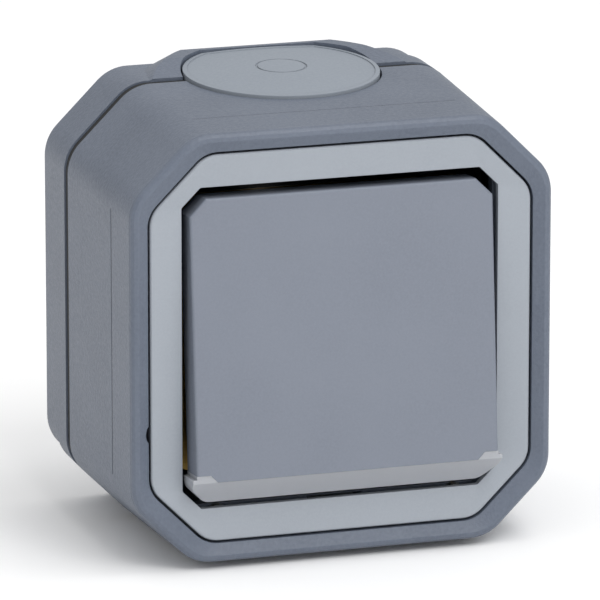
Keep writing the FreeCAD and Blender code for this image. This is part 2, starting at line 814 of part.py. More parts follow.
def hub_boot():
    """Soft collar on the lid, round the rocker's hub."""
    y_flange = y_nose - boot_flange_thickness
    y_top = y_nose - boot_height
    outer = boot_inner + boot_wall
    return turned_y([(boot_inner, y_top), (outer - boot_wall / 2, y_top),
                     (outer, y_flange), (boot_flange, y_flange),
                     (boot_flange, y_nose), (boot_inner, y_nose)])


def cap_outline(inset):
    """Outline of the rocker's face as (x, z) points, drawn in by inset."""
    w = cap_half_width - inset
    top = cap_top - inset
    cut = cap_top_cut - inset * offset_cut
    low = -cap_bottom + inset
    step = low + step_height
    x1 = w - step_width
    x2 = x1 - step_slope
    return [(-w, step), (-x1, step), (-x2, low), (x2, low), (x1, step), (w, step),
            (w, top - cut), (w - cut, top), (-w + cut, top), (-w, top - cut)]


def rocker_cap():
    """Tilting face of the switch: a shallow tray with bevelled upper corners."""
    y_back = -face_lead + cap_skirt
    shell = front_profile(cap_outline(0), -face_lead, y_back)
    edges = edges_at(shell, -face_lead, -cap_bottom + step_height - 0.01)
    side_edges = [e for e in edges if e.BoundBox.ZMax > 0]
    shell = shell.makeFillet(cap_edge_round, side_edges)
    hollow = front_profile(cap_outline(cap_side), -face_lead + cap_plate, y_back)
    return rocker_place(shell.cut(hollow))


def lens_outline():
    """Lower outline of the lens, with rounded cut corners, in the rocker's own drawing."""
    w = lens_half_width
    shoulder = -cap_bottom + step_height / 2
    points = [(-w, shoulder), (-w, -lens_bottom + lens_cut), (-w + lens_cut, -lens_bottom),
              (w - lens_cut, -lens_bottom), (w, -lens_bottom + lens_cut), (w, shoulder)]
    corners = [Vector(x, -face_lead, z) for x, z in points]
    return rounded_outline(corners, [0, lens_round, lens_round, lens_round, lens_round, 0])


def rocker_lens():
    """Translucent strip below the face; its front slopes back to the lower edge."""
    lower = prism(lens_outline(), face_lead - lens_back)
    top = -cap_bottom + step_height
    upper = block(-cap_half_width, cap_half_width, -face_lead, -lens_back, -cap_bottom, top)
    slope = side_profile([(-face_lead, -cap_bottom), (-lens_front, -lens_bottom),
                          (-lens_front, -lens_bottom - 1), (-face_lead - 1, -lens_bottom - 1),
                          (-face_lead - 1, -cap_bottom)],
                         -lens_half_width - 1, lens_half_width + 1)
    face_room = front_profile(cap_outline(0), -face_lead - 1, 0)
    strip = joined([lower, upper]).cut([slope, face_room])
    cap_back = -face_lead + cap_skirt
    arms = []
    for side in (-1, 1):
        x0 = side * lens_arm_offset - lens_arm_width / 2
        arms.append(block(x0, x0 + lens_arm_width, cap_back, cap_back + lens_arm_thickness,
                          -lens_bottom + lens_cut, -lens_arm_top))
    return rocker_place(joined([strip] + arms))


def rocker_cradle():
    """Carrier of the face: plate, two cheeks with the hinge pins, the hub and stiffening ribs."""
    y_front = -face_lead + cap_plate
    y_back = y_front + cradle_plate
    plate = block(-cradle_half, cradle_half, y_front, y_back, -cradle_half, cradle_half)
    parts = [plate]
    outer = nose_half - bearing_wall - cheek_gap
    for side in (-1, 1):
        x0 = min(side * outer, side * (outer - cheek_thickness))
        x1 = x0 + cheek_thickness
        parts.append(block(x0, x1, y_back, 0, -cheek_radius, cheek_radius))
        parts.append(rod_x(cheek_radius, 0, 0, x0, x1))
        pin_x0 = min(side * outer, side * (nose_half + pin_end))
        parts.append(rod_x(pin_radius, 0, 0, pin_x0, pin_x0 + bearing_wall + cheek_gap + pin_end))
        x_arm = side * lens_arm_offset - lens_arm_width / 2
        parts.append(block(x_arm, x_arm + lens_arm_width, y_back, -face_lead + cap_skirt,
                           -cradle_half, -lens_arm_top))
    parts.append(rod_y(hub_radius, 0, 0, y_back, hub_end))
    rib_reach = outer - cheek_thickness
    for turn in (0, 90):
        rib = block(-rib_thickness / 2, rib_thickness / 2, y_back, y_back + rib_height,
                    -rib_reach, rib_reach)
        rib.rotate(Vector(0, 0, 0), Vector(0, 1, 0), turn)
        parts.append(rib)
    bore = rod_y(hub_bore, 0, 0, -hub_floor, hub_end)
    return rocker_place(joined(parts).cut(bore))


def plunger():
    """Sprung pin in the hub, with a tapered, rounded tip that runs on the contact lever."""
    shank_radius = hub_bore - plunger_play
    tip_centre = plunger_reach - plunger_tip
    taper_start = tip_centre - (shank_radius - plunger_tip) * 2
    profile = [(0, -plunger_back), (shank_radius, -plunger_back), (shank_radius, taper_start)]
    for step in range(plunger_bands + 1):
        angle = math.pi / 2 * step / plunger_bands
        profile.append((plunger_tip * math.cos(angle), tip_centre + plunger_tip * math.sin(angle)))
    return rocker_place(turned_y(profile))


def plunger_spring():
    """Wire coil between the floor of the hub and the plunger; its wire is drawn four-sided."""
    length = hub_floor - plunger_back - 2 * spring_wire
    pitch = length / spring_turns
    helix = Part.makeHelix(pitch, length, spring_radius)
    angles = [math.pi / 2 * i for i in range(5)]
    corners = [Vector(spring_radius + spring_wire * math.cos(a), 0, spring_wire * math.sin(a))
               for a in angles]
    profile = Part.makePolygon(corners)
    coil = Part.Wire(helix.Edges).makePipeShell([profile], True, True)
    coil.rotate(Vector(0, 0, 0), Vector(1, 0, 0), -90)
    coil.translate(Vector(0, -hub_floor + spring_wire, 0))
    return rocker_place(coil)


def moving_contact():
    """Rocking lever: a flat strip whose two side wings straddle the knife edge."""
    strip = block(-lever_half_width, lever_half_width, -lever_thickness, 0, -lever_half, lever_half)
    wings = []
    for side in (-1, 1):
        outer = side * lever_half_width
        inner = side * (lever_half_width - lever_flange_thickness)
        wings.append(block(min(outer, inner), max(outer, inner), 0, lever_flange_depth,
                           -lever_flange_half, lever_flange_half))
    return lever_place(joined([strip] + wings))


def moving_tips():
    """Silver buttons under the two ends of the lever."""
    tips = [rod_y(tip_radius, 0, side * tip_offset, 0, tip_height) for side in (-1, 1)]
    return lever_place(Part.makeCompound(tips))


def fixed_tips():
    """Silver buttons on the two fixed strips."""
    y_strip = y_partition - strip_thickness
    tips = [rod_y(tip_radius, 0, side * tip_offset, y_strip - fixed_tip_height, y_strip)
            for side in (-1, 1)]
    return Part.makeCompound(tips)


def terminal_block():
    """Brass block behind the partition with a wire hole and a tapped screw hole."""
    low = leg_offset - strip_thickness
    high = leg_offset + block_outer
    middle = (low + high) / 2
    body = block(-block_half, block_half, y_partition_back, y_block_back, low, high)
    y_wire = y_partition_back + block_depth / 2
    wire = rod_z(wire_radius, 0, y_wire, low, high)
    screw = rod_y(terminal_screw_radius, 0, middle, y_wire, y_block_back)
    return body.cut([wire, screw])


def terminal_leg():
    return block(-strip_half_width, strip_half_width, y_partition, y_partition_back,
                 leg_offset - strip_thickness, leg_offset)


def switched_terminal(name):
    """Strip under a fixed button, leg through the partition and block behind it."""
    strip = block(-strip_half_width, strip_half_width, y_partition - strip_thickness, y_partition,
                  strip_inner, leg_offset)
    return at_terminal(joined([strip, terminal_leg(), terminal_block()]), name)


def common_terminal():
    """Knife edge that the lever rocks on, strip to the side, leg and block."""
    strip_front = y_partition - strip_thickness
    foot = strip_half_width - knife_inset
    knife = side_profile([(y_pivot + pivot_play, 0), (strip_front, knife_half),
                          (strip_front, -knife_half)],
                         -foot, foot)
    base = block(-foot, foot, strip_front, y_partition, -foot, foot)
    strip = block(-strip_half_width, strip_half_width, strip_front, y_partition, 0, leg_offset)
    rail = at_terminal(joined([strip, terminal_leg(), terminal_block()]), "common")
    return joined([base, knife, rail])


def terminal_screws():
    """Clamping screws, their heads towards the wall, backed out so that a wire can go in."""
    middle = leg_offset + (block_outer - strip_thickness) / 2
    screws = []
    for name in terminal_places():
        screw = slotted_screw(terminal_screw_radius, terminal_screw_head,
                              terminal_screw_head_height, terminal_screw_length, 0, 0, 0)
        screw.rotate(Vector(0, 0, 0), Vector(0, 0, 1), 180)
        screw.translate(Vector(0, y_block_back + terminal_screw_out, middle))
        screws.append(at_terminal(screw, name))
    return Part.makeCompound(screws)


parts = {
    "back_box": back_box(),
    "box_gasket": box_gasket(),
    "cable_gland": cable_gland(),
    "hood": hood(),
    "hood_screws": hood_screws(),
    "trim_frame": trim_frame(),
    "support_plate": support_plate(),
    "plate_screws": plate_screws(),
    "mechanism_housing": mechanism_housing(),
    "housing_screws": housing_screws(),
    "housing_cover": housing_cover(),
    "hub_boot": hub_boot(),
    "rocker_cap": rocker_cap(),
    "rocker_lens": rocker_lens(),
    "rocker_cradle": rocker_cradle(),
    "plunger": plunger(),
    "plunger_spring": plunger_spring(),
    "moving_contact": moving_contact(),
    "moving_tips": moving_tips(),
    "fixed_tips": fixed_tips(),
    "upper_terminal": switched_terminal("upper"),
    "lower_terminal": switched_terminal("lower"),
    "common_terminal": common_terminal(),
    "terminal_screws": terminal_screws(),
}

os.makedirs("parts", exist_ok=True)
for name, shape in parts.items():
    shape.exportStep("parts/" + name + ".step")
    print(name, "solids", len(shape.Solids), "valid", shape.isValid(), "volume", round(shape.Volume, 1))
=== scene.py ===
# %% [markdown]
# # A weatherproof wall switch
#
# This lesson dresses a finished CAD model of a surface-mounted outdoor switch. The model gives
# every shape at its real size, so the work here is the light, the camera and the finish of each
# surface. Almost everything on the real switch is moulded plastic, and what tells one piece from
# the next is small: how fine its grain is, how it rounds at an edge, and how much light it lets in.

# %% Load the frame
import json
import math

import bpy
import numpy as np
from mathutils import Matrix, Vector


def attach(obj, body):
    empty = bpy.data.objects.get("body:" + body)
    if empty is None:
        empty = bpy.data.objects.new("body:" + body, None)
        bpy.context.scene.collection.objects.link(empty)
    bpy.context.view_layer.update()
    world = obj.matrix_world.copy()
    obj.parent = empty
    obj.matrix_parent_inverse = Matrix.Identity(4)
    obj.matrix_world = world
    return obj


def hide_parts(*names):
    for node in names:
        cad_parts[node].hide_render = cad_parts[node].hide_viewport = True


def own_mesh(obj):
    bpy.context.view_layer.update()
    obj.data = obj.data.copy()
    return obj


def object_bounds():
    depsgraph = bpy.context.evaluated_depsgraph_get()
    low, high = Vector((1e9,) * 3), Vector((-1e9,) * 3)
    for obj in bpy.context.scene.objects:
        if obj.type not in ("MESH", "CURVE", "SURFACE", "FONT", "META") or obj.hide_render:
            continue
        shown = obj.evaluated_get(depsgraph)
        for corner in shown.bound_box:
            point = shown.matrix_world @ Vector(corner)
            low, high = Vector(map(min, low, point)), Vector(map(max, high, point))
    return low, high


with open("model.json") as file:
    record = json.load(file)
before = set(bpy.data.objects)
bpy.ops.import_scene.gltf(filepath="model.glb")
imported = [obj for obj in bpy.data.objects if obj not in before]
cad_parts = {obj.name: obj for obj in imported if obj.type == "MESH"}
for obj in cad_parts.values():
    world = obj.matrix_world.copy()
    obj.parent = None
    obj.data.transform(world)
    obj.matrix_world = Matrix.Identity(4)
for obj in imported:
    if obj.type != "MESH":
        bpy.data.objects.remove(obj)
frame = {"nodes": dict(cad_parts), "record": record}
cad_box = [list(corner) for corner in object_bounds()]
MM = 0.001
print("CAD box in mm:", [[round(v / MM, 1) for v in corner] for corner in cad_box])

# %% [markdown]
# ## Colour
#
# Colours are picked as sRGB hex values, the way a paint chart or a screen gives them. Blender's
# shaders work with linear light, so one function undoes the sRGB curve.


# %% Hex to linear
def linear(hex_colour):
    """Linear RGBA of an sRGB hex colour: each channel goes through the inverse sRGB curve."""
    channels = np.array([int(hex_colour[i:i + 2], 16) for i in (1, 3, 5)]) / 255
    low = channels / 12.92
    high = ((channels + 0.055) / 1.055) ** 2.4
    return (*np.where(channels <= 0.04045, low, high).tolist(), 1.0)


print("mid grey #808080 is", round(linear("#808080")[0], 3), "in linear light")

# %% [markdown]
# ## Camera
#
# The view comes from the left and from above, through a long lens, so the sides hardly converge.
# The camera is described as a photographer would: where it points, how far it is turned and
# tipped, and how far away it stands. Its place then follows from those values.

# %% Camera
camera_target = Vector((-6.1, -45.05, 6.24)) * MM
camera_yaw = 17.46       # degrees to the left of the object
camera_pitch = 14.84     # degrees above it
camera_distance = 1.187  # metres
camera_lens = 424.0      # mm
camera_sensor = 36.0     # mm, width of the film behind the lens
camera_clip = 0.05, 30   # metres, nearest and farthest thing that it draws


def add_camera():
    """Camera that looks along a unit vector made of the yaw and the pitch, from far behind it."""
    yaw, pitch = math.radians(camera_yaw), math.radians(camera_pitch)
    level = math.cos(pitch)
    look = Vector((math.sin(yaw) * level, math.cos(yaw) * level, -math.sin(pitch)))
    data = bpy.data.cameras.new("studio_camera")
    data.sensor_width = camera_sensor
    data.lens = camera_lens
    data.clip_start, data.clip_end = camera_clip
    camera = bpy.data.objects.new("studio_camera", data)
    bpy.context.scene.collection.objects.link(camera)
    camera.location = camera_target - look * camera_distance
    camera.rotation_euler = look.to_track_quat("-Z", "Y").to_euler()
    bpy.context.scene.camera = camera
    return camera


camera = add_camera()
print("camera stands at", [round(v, 3) for v in camera.location])

# %% [markdown]
# ## Studio
#
# A product like this is photographed in a light tent: white from all round, with one large soft
# source in front and a little more light from above. The tent is the world's light, which grows
# from the horizon to the zenith. Two big area lights give the roundings something to catch, and
# a small low one, like a card that sends light back, keeps the bottom edge from going black.

# %% Floor, surroundings and lights
floor_level = cad_box[0][2]
FLOOR_REACH = 6.0                     # metres, middle to an edge
HORIZON_LIGHT, ZENITH_LIGHT = 0.52, 1.0    # strength of the tent, low down and overhead
SOFTBOXES = [                         # name, place and side in metres, power in watts
    ("front_softbox", (0.25, -1.25, 1.4), 0.9, 12.4),
    ("top_softbox", (0.35, -0.30, 1.3), 0.45, 3.0),
    ("low_reflector", (0.22, -0.60, 0.03), 0.25, 0.5),
]
OBJECT_MIDDLE = (0, -0.03, 0)         # metres, where the lights point


def add_floor():
    """A wide flat square on which the object stands."""
    mesh = bpy.data.meshes.new("studio_floor")
    signs = [(-1, -1), (1, -1), (1, 1), (-1, 1)]
    corners = [(x * FLOOR_REACH, y * FLOOR_REACH, floor_level) for x, y in signs]
    mesh.from_pydata(corners, [], [(0, 1, 2, 3)])
    floor = bpy.data.objects.new("studio_floor", mesh)
    bpy.context.scene.collection.objects.link(floor)
    return floor


def add_area_light(name, place, size, power):
    """Square area light at a place, turned towards the object."""
    data = bpy.data.lights.new(name, "AREA")
    data.shape = "SQUARE"
    data.size = size
    data.energy = power
    light = bpy.data.objects.new(name, data)
    bpy.context.scene.collection.objects.link(light)
    light.location = place
    towards = Vector(OBJECT_MIDDLE) - Vector(place)
    light.rotation_euler = towards.to_track_quat("-Z", "Y").to_euler()
    return light


def add_light_tent(horizon, zenith):
    """World whose light grows with height: the Z of each direction is mapped to a strength."""
    world = bpy.data.worlds.new("light_tent")
    world.use_nodes = True
    nodes, links = world.node_tree.nodes, world.node_tree.links
    direction = nodes.new("ShaderNodeTexCoord")
    parts = nodes.new("ShaderNodeSeparateXYZ")
    strength = nodes.new("ShaderNodeMapRange")
    strength.inputs["To Min"].default_value = horizon
    strength.inputs["To Max"].default_value = zenith
    links.new(direction.outputs["Generated"], parts.inputs["Vector"])
    links.new(parts.outputs["Z"], strength.inputs["Value"])
    links.new(strength.outputs["Result"], nodes["Background"].inputs["Strength"])
    nodes["Background"].inputs["Color"].default_value = linear("#ffffff")
    bpy.context.scene.world = world


floor = add_floor()
add_light_tent(HORIZON_LIGHT, ZENITH_LIGHT)
bpy.context.scene.view_settings.view_transform = "Standard"
for name, place, size, power in SOFTBOXES:
    add_area_light(name, place, size, power)
print("floor at", round(floor_level / MM, 1), "mm,", len(bpy.data.lights), "lights")

# %% [markdown]
# ## Building materials from nodes
#
# One helper adds a node, sets its values and joins its inputs. Every material below is made with
# it. Patterns read Object coordinates, which are metres here, so a pattern's scale is one divided
# by the size that its grain has on the real thing.

# %% Node helper
NOISE_LOW, NOISE_HIGH = 0.3, 0.7   # a noise texture's values mostly lie between these
BEVEL_SAMPLES = 6                  # rays with which a Bevel node feels for an edge


def add_node(tree, kind, values=None, links=None, **settings):
    """Adds a node, sets its properties and input values, and links inputs to given outputs."""
    node = tree.nodes.new(kind)
    for name, value in settings.items():
        setattr(node, name, value)
    for name, value in (values or {}).items():
        node.inputs[name].default_value = value
    for name, output in (links or {}).items():
        tree.links.new(output, node.inputs[name])
    return node


def new_material(name):
    """Empty node material with its output and Principled shader joined."""
    material = bpy.data.materials.new(name)
    material.use_nodes = True
    tree = material.node_tree
    tree.nodes.clear()
    shader = add_node(tree, "ShaderNodeBsdfPrincipled")
    add_node(tree, "ShaderNodeOutputMaterial", links={"Surface": shader.outputs["BSDF"]})
    return material, tree, shader


def per_metre(size_mm):
    """Scale of a noise whose features are about size_mm across, on coordinates in metres."""
    return 1.0 / (size_mm * MM)


print("a 0.4 mm grain has scale", per_metre(0.4))

# %% [markdown]
# ## Moulded plastic
#
# The mould of a switch is spark-eroded: an electric arc pits the steel, and each pit leaves a
# tiny bump on the plastic. The eye sees this as a matt, slightly sparkling surface. Its height
# map is a fine noise, and the same noise changes the colour and the roughness a little. Larger,
# weaker clouds in the colour are where the melt flowed and cooled unevenly. A Bevel node rounds the
# shading at every edge by a tenth of a millimetre or so, as the mould's own edges do. The real
# grain is finer than a pixel of the picture, so it is drawn about 0.5 mm coarse to show.

# %% Spark-eroded plastic
CLOUD_MM = 18                # mm across a cloud of the melt
CLOUD_STRENGTH = 1.4         # factor on the clouds, before the specks scale them
SPECK_SHARES = 0.25, 0.75    # how much of a cloud the lightest and the darkest speck let show
MATT_SPREAD = 0.05           # roughness above and below the material's own
MOULDED_IOR = 1.49


def moulded_plastic(name, colour, dark, grain_mm, height_mm, roughness, edge_mm):
    """Plastic with a two-tone cloud in its colour and a bumpy grain of a given height."""
    material, tree, shader = new_material(name)
    place = add_node(tree, "ShaderNodeTexCoord").outputs["Object"]
    clouds = add_node(tree, "ShaderNodeTexNoise",
                      {"Scale": per_metre(CLOUD_MM), "Detail": 3.0}, {"Vector": place})
    grain = add_node(tree, "ShaderNodeTexNoise",
                     {"Scale": per_metre(grain_mm), "Detail": 4.0, "Roughness": 0.6},
                     {"Vector": place})
    speck = add_node(tree, "ShaderNodeMapRange",
                     {"From Min": NOISE_LOW, "From Max": NOISE_HIGH,
                      "To Min": SPECK_SHARES[0], "To Max": SPECK_SHARES[1]},
                     {"Value": grain.outputs["Fac"]})
    strong = add_node(tree, "ShaderNodeMath", {1: CLOUD_STRENGTH},
                      {0: clouds.outputs["Fac"]}, operation="MULTIPLY")
    share = add_node(tree, "ShaderNodeMath", {},
                     {0: strong.outputs["Value"], 1: speck.outputs["Result"]},
                     operation="MULTIPLY")
    tone = add_node(tree, "ShaderNodeMix", {"A": linear(colour), "B": linear(dark)},
                    {"Factor": share.outputs["Value"]}, data_type="RGBA")
    matt = add_node(tree, "ShaderNodeMapRange",
                    {"From Min": NOISE_LOW, "From Max": NOISE_HIGH,
                     "To Min": roughness - MATT_SPREAD, "To Max": roughness + MATT_SPREAD},
                    {"Value": grain.outputs["Fac"]})
    rounded = add_node(tree, "ShaderNodeBevel", {"Radius": edge_mm * MM}, samples=BEVEL_SAMPLES)
    bump = add_node(tree, "ShaderNodeBump", {"Strength": 1.0, "Distance": height_mm * MM},
                    {"Height": grain.outputs["Fac"], "Normal": rounded.outputs["Normal"]})
    tree.links.new(tone.outputs["Result"], shader.inputs["Base Color"])
    tree.links.new(matt.outputs["Result"], shader.inputs["Roughness"])
    tree.links.new(bump.outputs["Normal"], shader.inputs["Normal"])
    shader.inputs["IOR"].default_value = MOULDED_IOR
    return material


# ASA, a plastic for outdoors: a coarse, deep grain, so the walls sparkle in the light.
enclosure_asa = moulded_plastic("enclosure_moulded_asa", "#646c7a", "#4e5664",
                                grain_mm=0.6, height_mm=0.10, roughness=0.44, edge_mm=0.10)
# ABS with a shallow grain: the rocker's face looks even, with a broad, weak shine.
rocker_abs = moulded_plastic("rocker_moulded_abs", "#757b87", "#6b717d",
                             grain_mm=0.4, height_mm=0.012, roughness=0.48, edge_mm=0.10)
# ABS in a paler grey and nearly smooth: satin, so the frame stands out from the hood.
trim_abs = moulded_plastic("trim_moulded_abs", "#989ea6", "#8e949c",
                           grain_mm=0.4, height_mm=0.008, roughness=0.42, edge_mm=0.10)
# A soft thermoplastic elastomer: dull, with edges that round off wide.
gland_tpe = moulded_plastic("gland_soft_tpe", "#888f98", "#7e858e",
                            grain_mm=0.5, height_mm=0.010, roughness=0.62, edge_mm=0.25)
# PBT, which insulates: black, with only a dim shine.
insulator_pbt = moulded_plastic("insulator_black_pbt", "#1d1e20", "#141517",
                                grain_mm=0.4, height_mm=0.02, roughness=0.55, edge_mm=0.12)
# Polycarbonate, which is tough: dark grey and satin.
cradle_pc = moulded_plastic("cradle_dark_polycarbonate", "#50535b", "#44474f",
                            grain_mm=0.4, height_mm=0.01, roughness=0.45, edge_mm=0.12)
# EPDM rubber: black, and so matt that it gives almost no light back.
gasket_epdm = moulded_plastic("gasket_black_epdm", "#17181a", "#0f1011",
                              grain_mm=0.6, height_mm=0.02, roughness=0.75, edge_mm=0.15)

# %% [markdown]
# ## The translucent strip
#
# The strip along the rocker's lower edge is moulded in milky polycarbonate: light goes in, is
# scattered and comes out again a little further on. Subsurface scattering with a reach of a
# millimetre or two does this, the same for red, green and blue, so the strip stays grey. A small
# share of transmission lets the dark joint behind it show.

# %% Milky polycarbonate
LENS_GRAIN_MM = 0.5
LENS_HEIGHT_MM = 0.005               # height of the grain, which is nearly polished away
LENS_MATT = 0.28, 0.36               # roughness, least and most
LENS_EDGE_MM = 0.15
SCATTERED, LET_THROUGH = 0.6, 0.25   # shares of the light
POLYCARBONATE_IOR = 1.58


def milky_plastic(name, colour, reach_mm):
    """Satin plastic that scatters light below its surface, up to about reach_mm away."""
    material, tree, shader = new_material(name)
    place = add_node(tree, "ShaderNodeTexCoord").outputs["Object"]
    grain = add_node(tree, "ShaderNodeTexNoise",
                     {"Scale": per_metre(LENS_GRAIN_MM), "Detail": 3.0}, {"Vector": place})
    matt = add_node(tree, "ShaderNodeMapRange",
                    {"From Min": NOISE_LOW, "From Max": NOISE_HIGH,
                     "To Min": LENS_MATT[0], "To Max": LENS_MATT[1]},
                    {"Value": grain.outputs["Fac"]})
    rounded = add_node(tree, "ShaderNodeBevel", {"Radius": LENS_EDGE_MM * MM},
                       samples=BEVEL_SAMPLES)
    bump = add_node(tree, "ShaderNodeBump", {"Strength": 1.0, "Distance": LENS_HEIGHT_MM * MM},
                    {"Height": grain.outputs["Fac"], "Normal": rounded.outputs["Normal"]})
    shader.inputs["Base Color"].default_value = linear(colour)
    shader.inputs["Subsurface Weight"].default_value = SCATTERED
    shader.inputs["Subsurface Radius"].default_value = (1.0, 1.0, 1.0)
    shader.inputs["Subsurface Scale"].default_value = reach_mm * MM
    shader.inputs["Transmission Weight"].default_value = LET_THROUGH
    shader.inputs["IOR"].default_value = POLYCARBONATE_IOR
    tree.links.new(matt.outputs["Result"], shader.inputs["Roughness"])
    tree.links.new(bump.outputs["Normal"], shader.inputs["Normal"])
    return material


lens_polycarbonate = milky_plastic("lens_milky_polycarbonate", "#b2b5bb", reach_mm=1.6)

# %% [markdown]
# ## Metals
#
# Little metal shows, but a switch has steel and brass inside. Rolled sheet and turned brass have
# faint streaks along the way they were worked, so the noise that drives their roughness is
# stretched along one axis.

# %% Worked metal
STREAK_SPREAD = 0.07                 # roughness above and below the metal's own
STREAK_STRETCH = (0.06, 1.0, 1.0)    # a streak is long along X
METAL_EDGE_MM = 0.1


def worked_metal(name, colour, dark, roughness, streak_mm):
    """Metal whose colour and roughness vary along fine streaks that run along X."""
    material, tree, shader = new_material(name)
    place = add_node(tree, "ShaderNodeTexCoord").outputs["Object"]
    stretched = add_node(tree, "ShaderNodeMapping", {"Scale": STREAK_STRETCH}, {"Vector": place})
    streaks = add_node(tree, "ShaderNodeTexNoise", {"Scale": per_metre(streak_mm), "Detail": 3.0},
                       {"Vector": stretched.outputs["Vector"]})
    tone = add_node(tree, "ShaderNodeMix", {"A": linear(colour), "B": linear(dark)},
                    {"Factor": streaks.outputs["Fac"]}, data_type="RGBA")
    matt = add_node(tree, "ShaderNodeMapRange",
                    {"From Min": NOISE_LOW, "From Max": NOISE_HIGH,
                     "To Min": roughness - STREAK_SPREAD, "To Max": roughness + STREAK_SPREAD},
                    {"Value": streaks.outputs["Fac"]})
    rounded = add_node(tree, "ShaderNodeBevel", {"Radius": METAL_EDGE_MM * MM},
                       samples=BEVEL_SAMPLES)
    shader.inputs["Metallic"].default_value = 1.0
    tree.links.new(tone.outputs["Result"], shader.inputs["Base Color"])
    tree.links.new(matt.outputs["Result"], shader.inputs["Roughness"])
    tree.links.new(rounded.outputs["Normal"], shader.inputs["Normal"])
    return material


# Rolled steel under a thin yellow film: warm, and seen as a gold patch beside the rocker.
passivated_steel = worked_metal("carrier_yellow_passivated_steel", "#c9a860", "#a98a4c",
                                roughness=0.35, streak_mm=0.5)
# Zinc on turned steel: a pale, cool grey.
zinc_steel = worked_metal("screw_zinc_plated_steel", "#b9bcbd", "#9da1a3",
                          roughness=0.3, streak_mm=0.3)
# Drawn wire: a darker grey, with the finest streaks.
spring_steel = worked_metal("spring_drawn_steel", "#a3a5a6", "#8b8d8e",
                            roughness=0.28, streak_mm=0.2)
# Bare brass: a bright, warm yellow.
bare_brass = worked_metal("terminal_bare_brass", "#d2b065", "#b8954c",
                          roughness=0.3, streak_mm=0.3)
# Silver alloy: nearly white, and the smoothest.
silver_alloy = worked_metal("contact_silver_alloy", "#dedcd6", "#c8c6bf",
                            roughness=0.25, streak_mm=0.3)

# %% [markdown]
# ## Dressing the CAD pieces
#
# The record says which slot each piece uses. A table from slot to material is then enough to
# dress every piece. The floor gets a very pale matt paint.

# %% Assign the materials
FLOOR_ROUGHNESS = 0.9
finish_of_slot = {
    "enclosure": enclosure_asa,
    "trim": trim_abs,
    "rocker": rocker_abs,
    "lens": lens_polycarbonate,
    "gland": gland_tpe,
    "gasket": gasket_epdm,
    "insulator": insulator_pbt,
    "cradle": cradle_pc,
    "carrier_steel": passivated_steel,
    "screw_steel": zinc_steel,
    "spring_steel": spring_steel,
    "brass": bare_brass,
    "silver": silver_alloy,
}


def dress(node, material):
    """Puts the material into every slot of a CAD piece."""
    for slot in node.material_slots:
        slot.material = material


for part in frame["record"]["subparts"]:
    dress(frame["nodes"][part["node"]], finish_of_slot[part["material_slot"]])

floor_paint, _, floor_shader = new_material("floor_white_paint")
floor_shader.inputs["Base Color"].default_value = linear("#f8f8f8")
floor_shader.inputs["Roughness"].default_value = FLOOR_ROUGHNESS
floor.data.materials.append(floor_paint)
print("dressed", len(frame["nodes"]), "CAD pieces")

# %% [markdown]
# ## Making a piece
#
# Each new piece is worked out as arrays of points and faces in millimetres. One helper turns them
# into an object, and another measures what a closed piece encloses, which also tells whether its
# faces point outwards.


# %% New piece and its volume
def new_piece(name, vertices, faces, material):
    """Object at the origin with points given in mm, in an array that ends in x, y, z."""
    mesh = bpy.data.meshes.new(name)
    mesh.from_pydata((vertices.reshape(-1, 3) * MM).tolist(), [], faces)
    mesh.update()
    piece = bpy.data.objects.new(name, mesh)
    bpy.context.scene.collection.objects.link(piece)
    piece.data.materials.append(material)
    return piece


def enclosed_volume(piece):
    """Volume in cubic mm by the divergence theorem. It is positive where faces point outwards."""
    piece.data.calc_loop_triangles()
    points = np.array([vertex.co for vertex in piece.data.vertices])
    corners = points[np.array([triangle.vertices for triangle in piece.data.loop_triangles])]
    crossed = np.cross(corners[:, 1], corners[:, 2])
    return float(np.einsum("ij,ij->i", corners[:, 0], crossed).sum() / 6 / MM ** 3)


print("the helpers work in mm and make metres")

# %% [markdown]
# ## The seal in the seam
#
# The seam between hood and box is dark because a rubber seal fills it nearly to the outside. The
# CAD keeps a plain ring there. Here the ring gets the section of a real extruded seal: flat sides
# that are squeezed between the two mouldings and a softly rounded outer lip just below the
# surface. Its section is carried along the box's outline, which is a square with cut corners:
# each corner has two arcs of 45 degrees, and straight runs follow by joining their ends.

# %% Outline of the box
BOX_HALF = 38.35       # mm, middle to a flat side
BOX_CUT = 11.7         # mm, leg of a cut corner
BOX_ROUND = 7.5        # mm, radius where a cut meets a side
GLAND_OPENING = 17.25  # mm, middle to where the outline stops, at the cable gland
ARC_STEPS = 9          # points on an arc of 45 degrees


def box_outline(open_half):
    """Points (x, z) and outward angles of the box's outline, clockwise from the top, in mm.

    A corner's two arcs have their centres a tangent length, radius times tan 22.5 degrees, from
    where the cut would start. The other corners are the first one turned by quarter turns.
    """
    tangent = BOX_ROUND * math.tan(math.pi / 8)
    along, across = BOX_HALF - BOX_CUT - tangent, BOX_HALF - BOX_ROUND
    first = np.linspace(math.pi / 2, math.pi / 4, ARC_STEPS)
    angle = np.concatenate([first, first - math.pi / 4])
    centre = np.repeat([[along, across], [across, along]], ARC_STEPS, axis=0)
    corner = centre + BOX_ROUND * np.stack([np.cos(angle), np.sin(angle)], axis=1)
    turns = -math.pi / 2 * np.arange(4)
    cosine, sine = np.cos(turns)[:, None], np.sin(turns)[:, None]
    x = cosine * corner[:, 0] - sine * corner[:, 1]
    z = sine * corner[:, 0] + cosine * corner[:, 1]
    angles = angle + turns[:, None]
    points = np.stack([x.ravel(), z.ravel()], axis=1)
    ends = np.array([[open_half, BOX_HALF], [-open_half, BOX_HALF]])
    points = np.concatenate([ends[:1], points, ends[1:]])
    return points, np.concatenate([[math.pi / 2], angles.ravel(), [-1.5 * math.pi]])


print("outline has", len(box_outline(GLAND_OPENING)[0]), "stations")


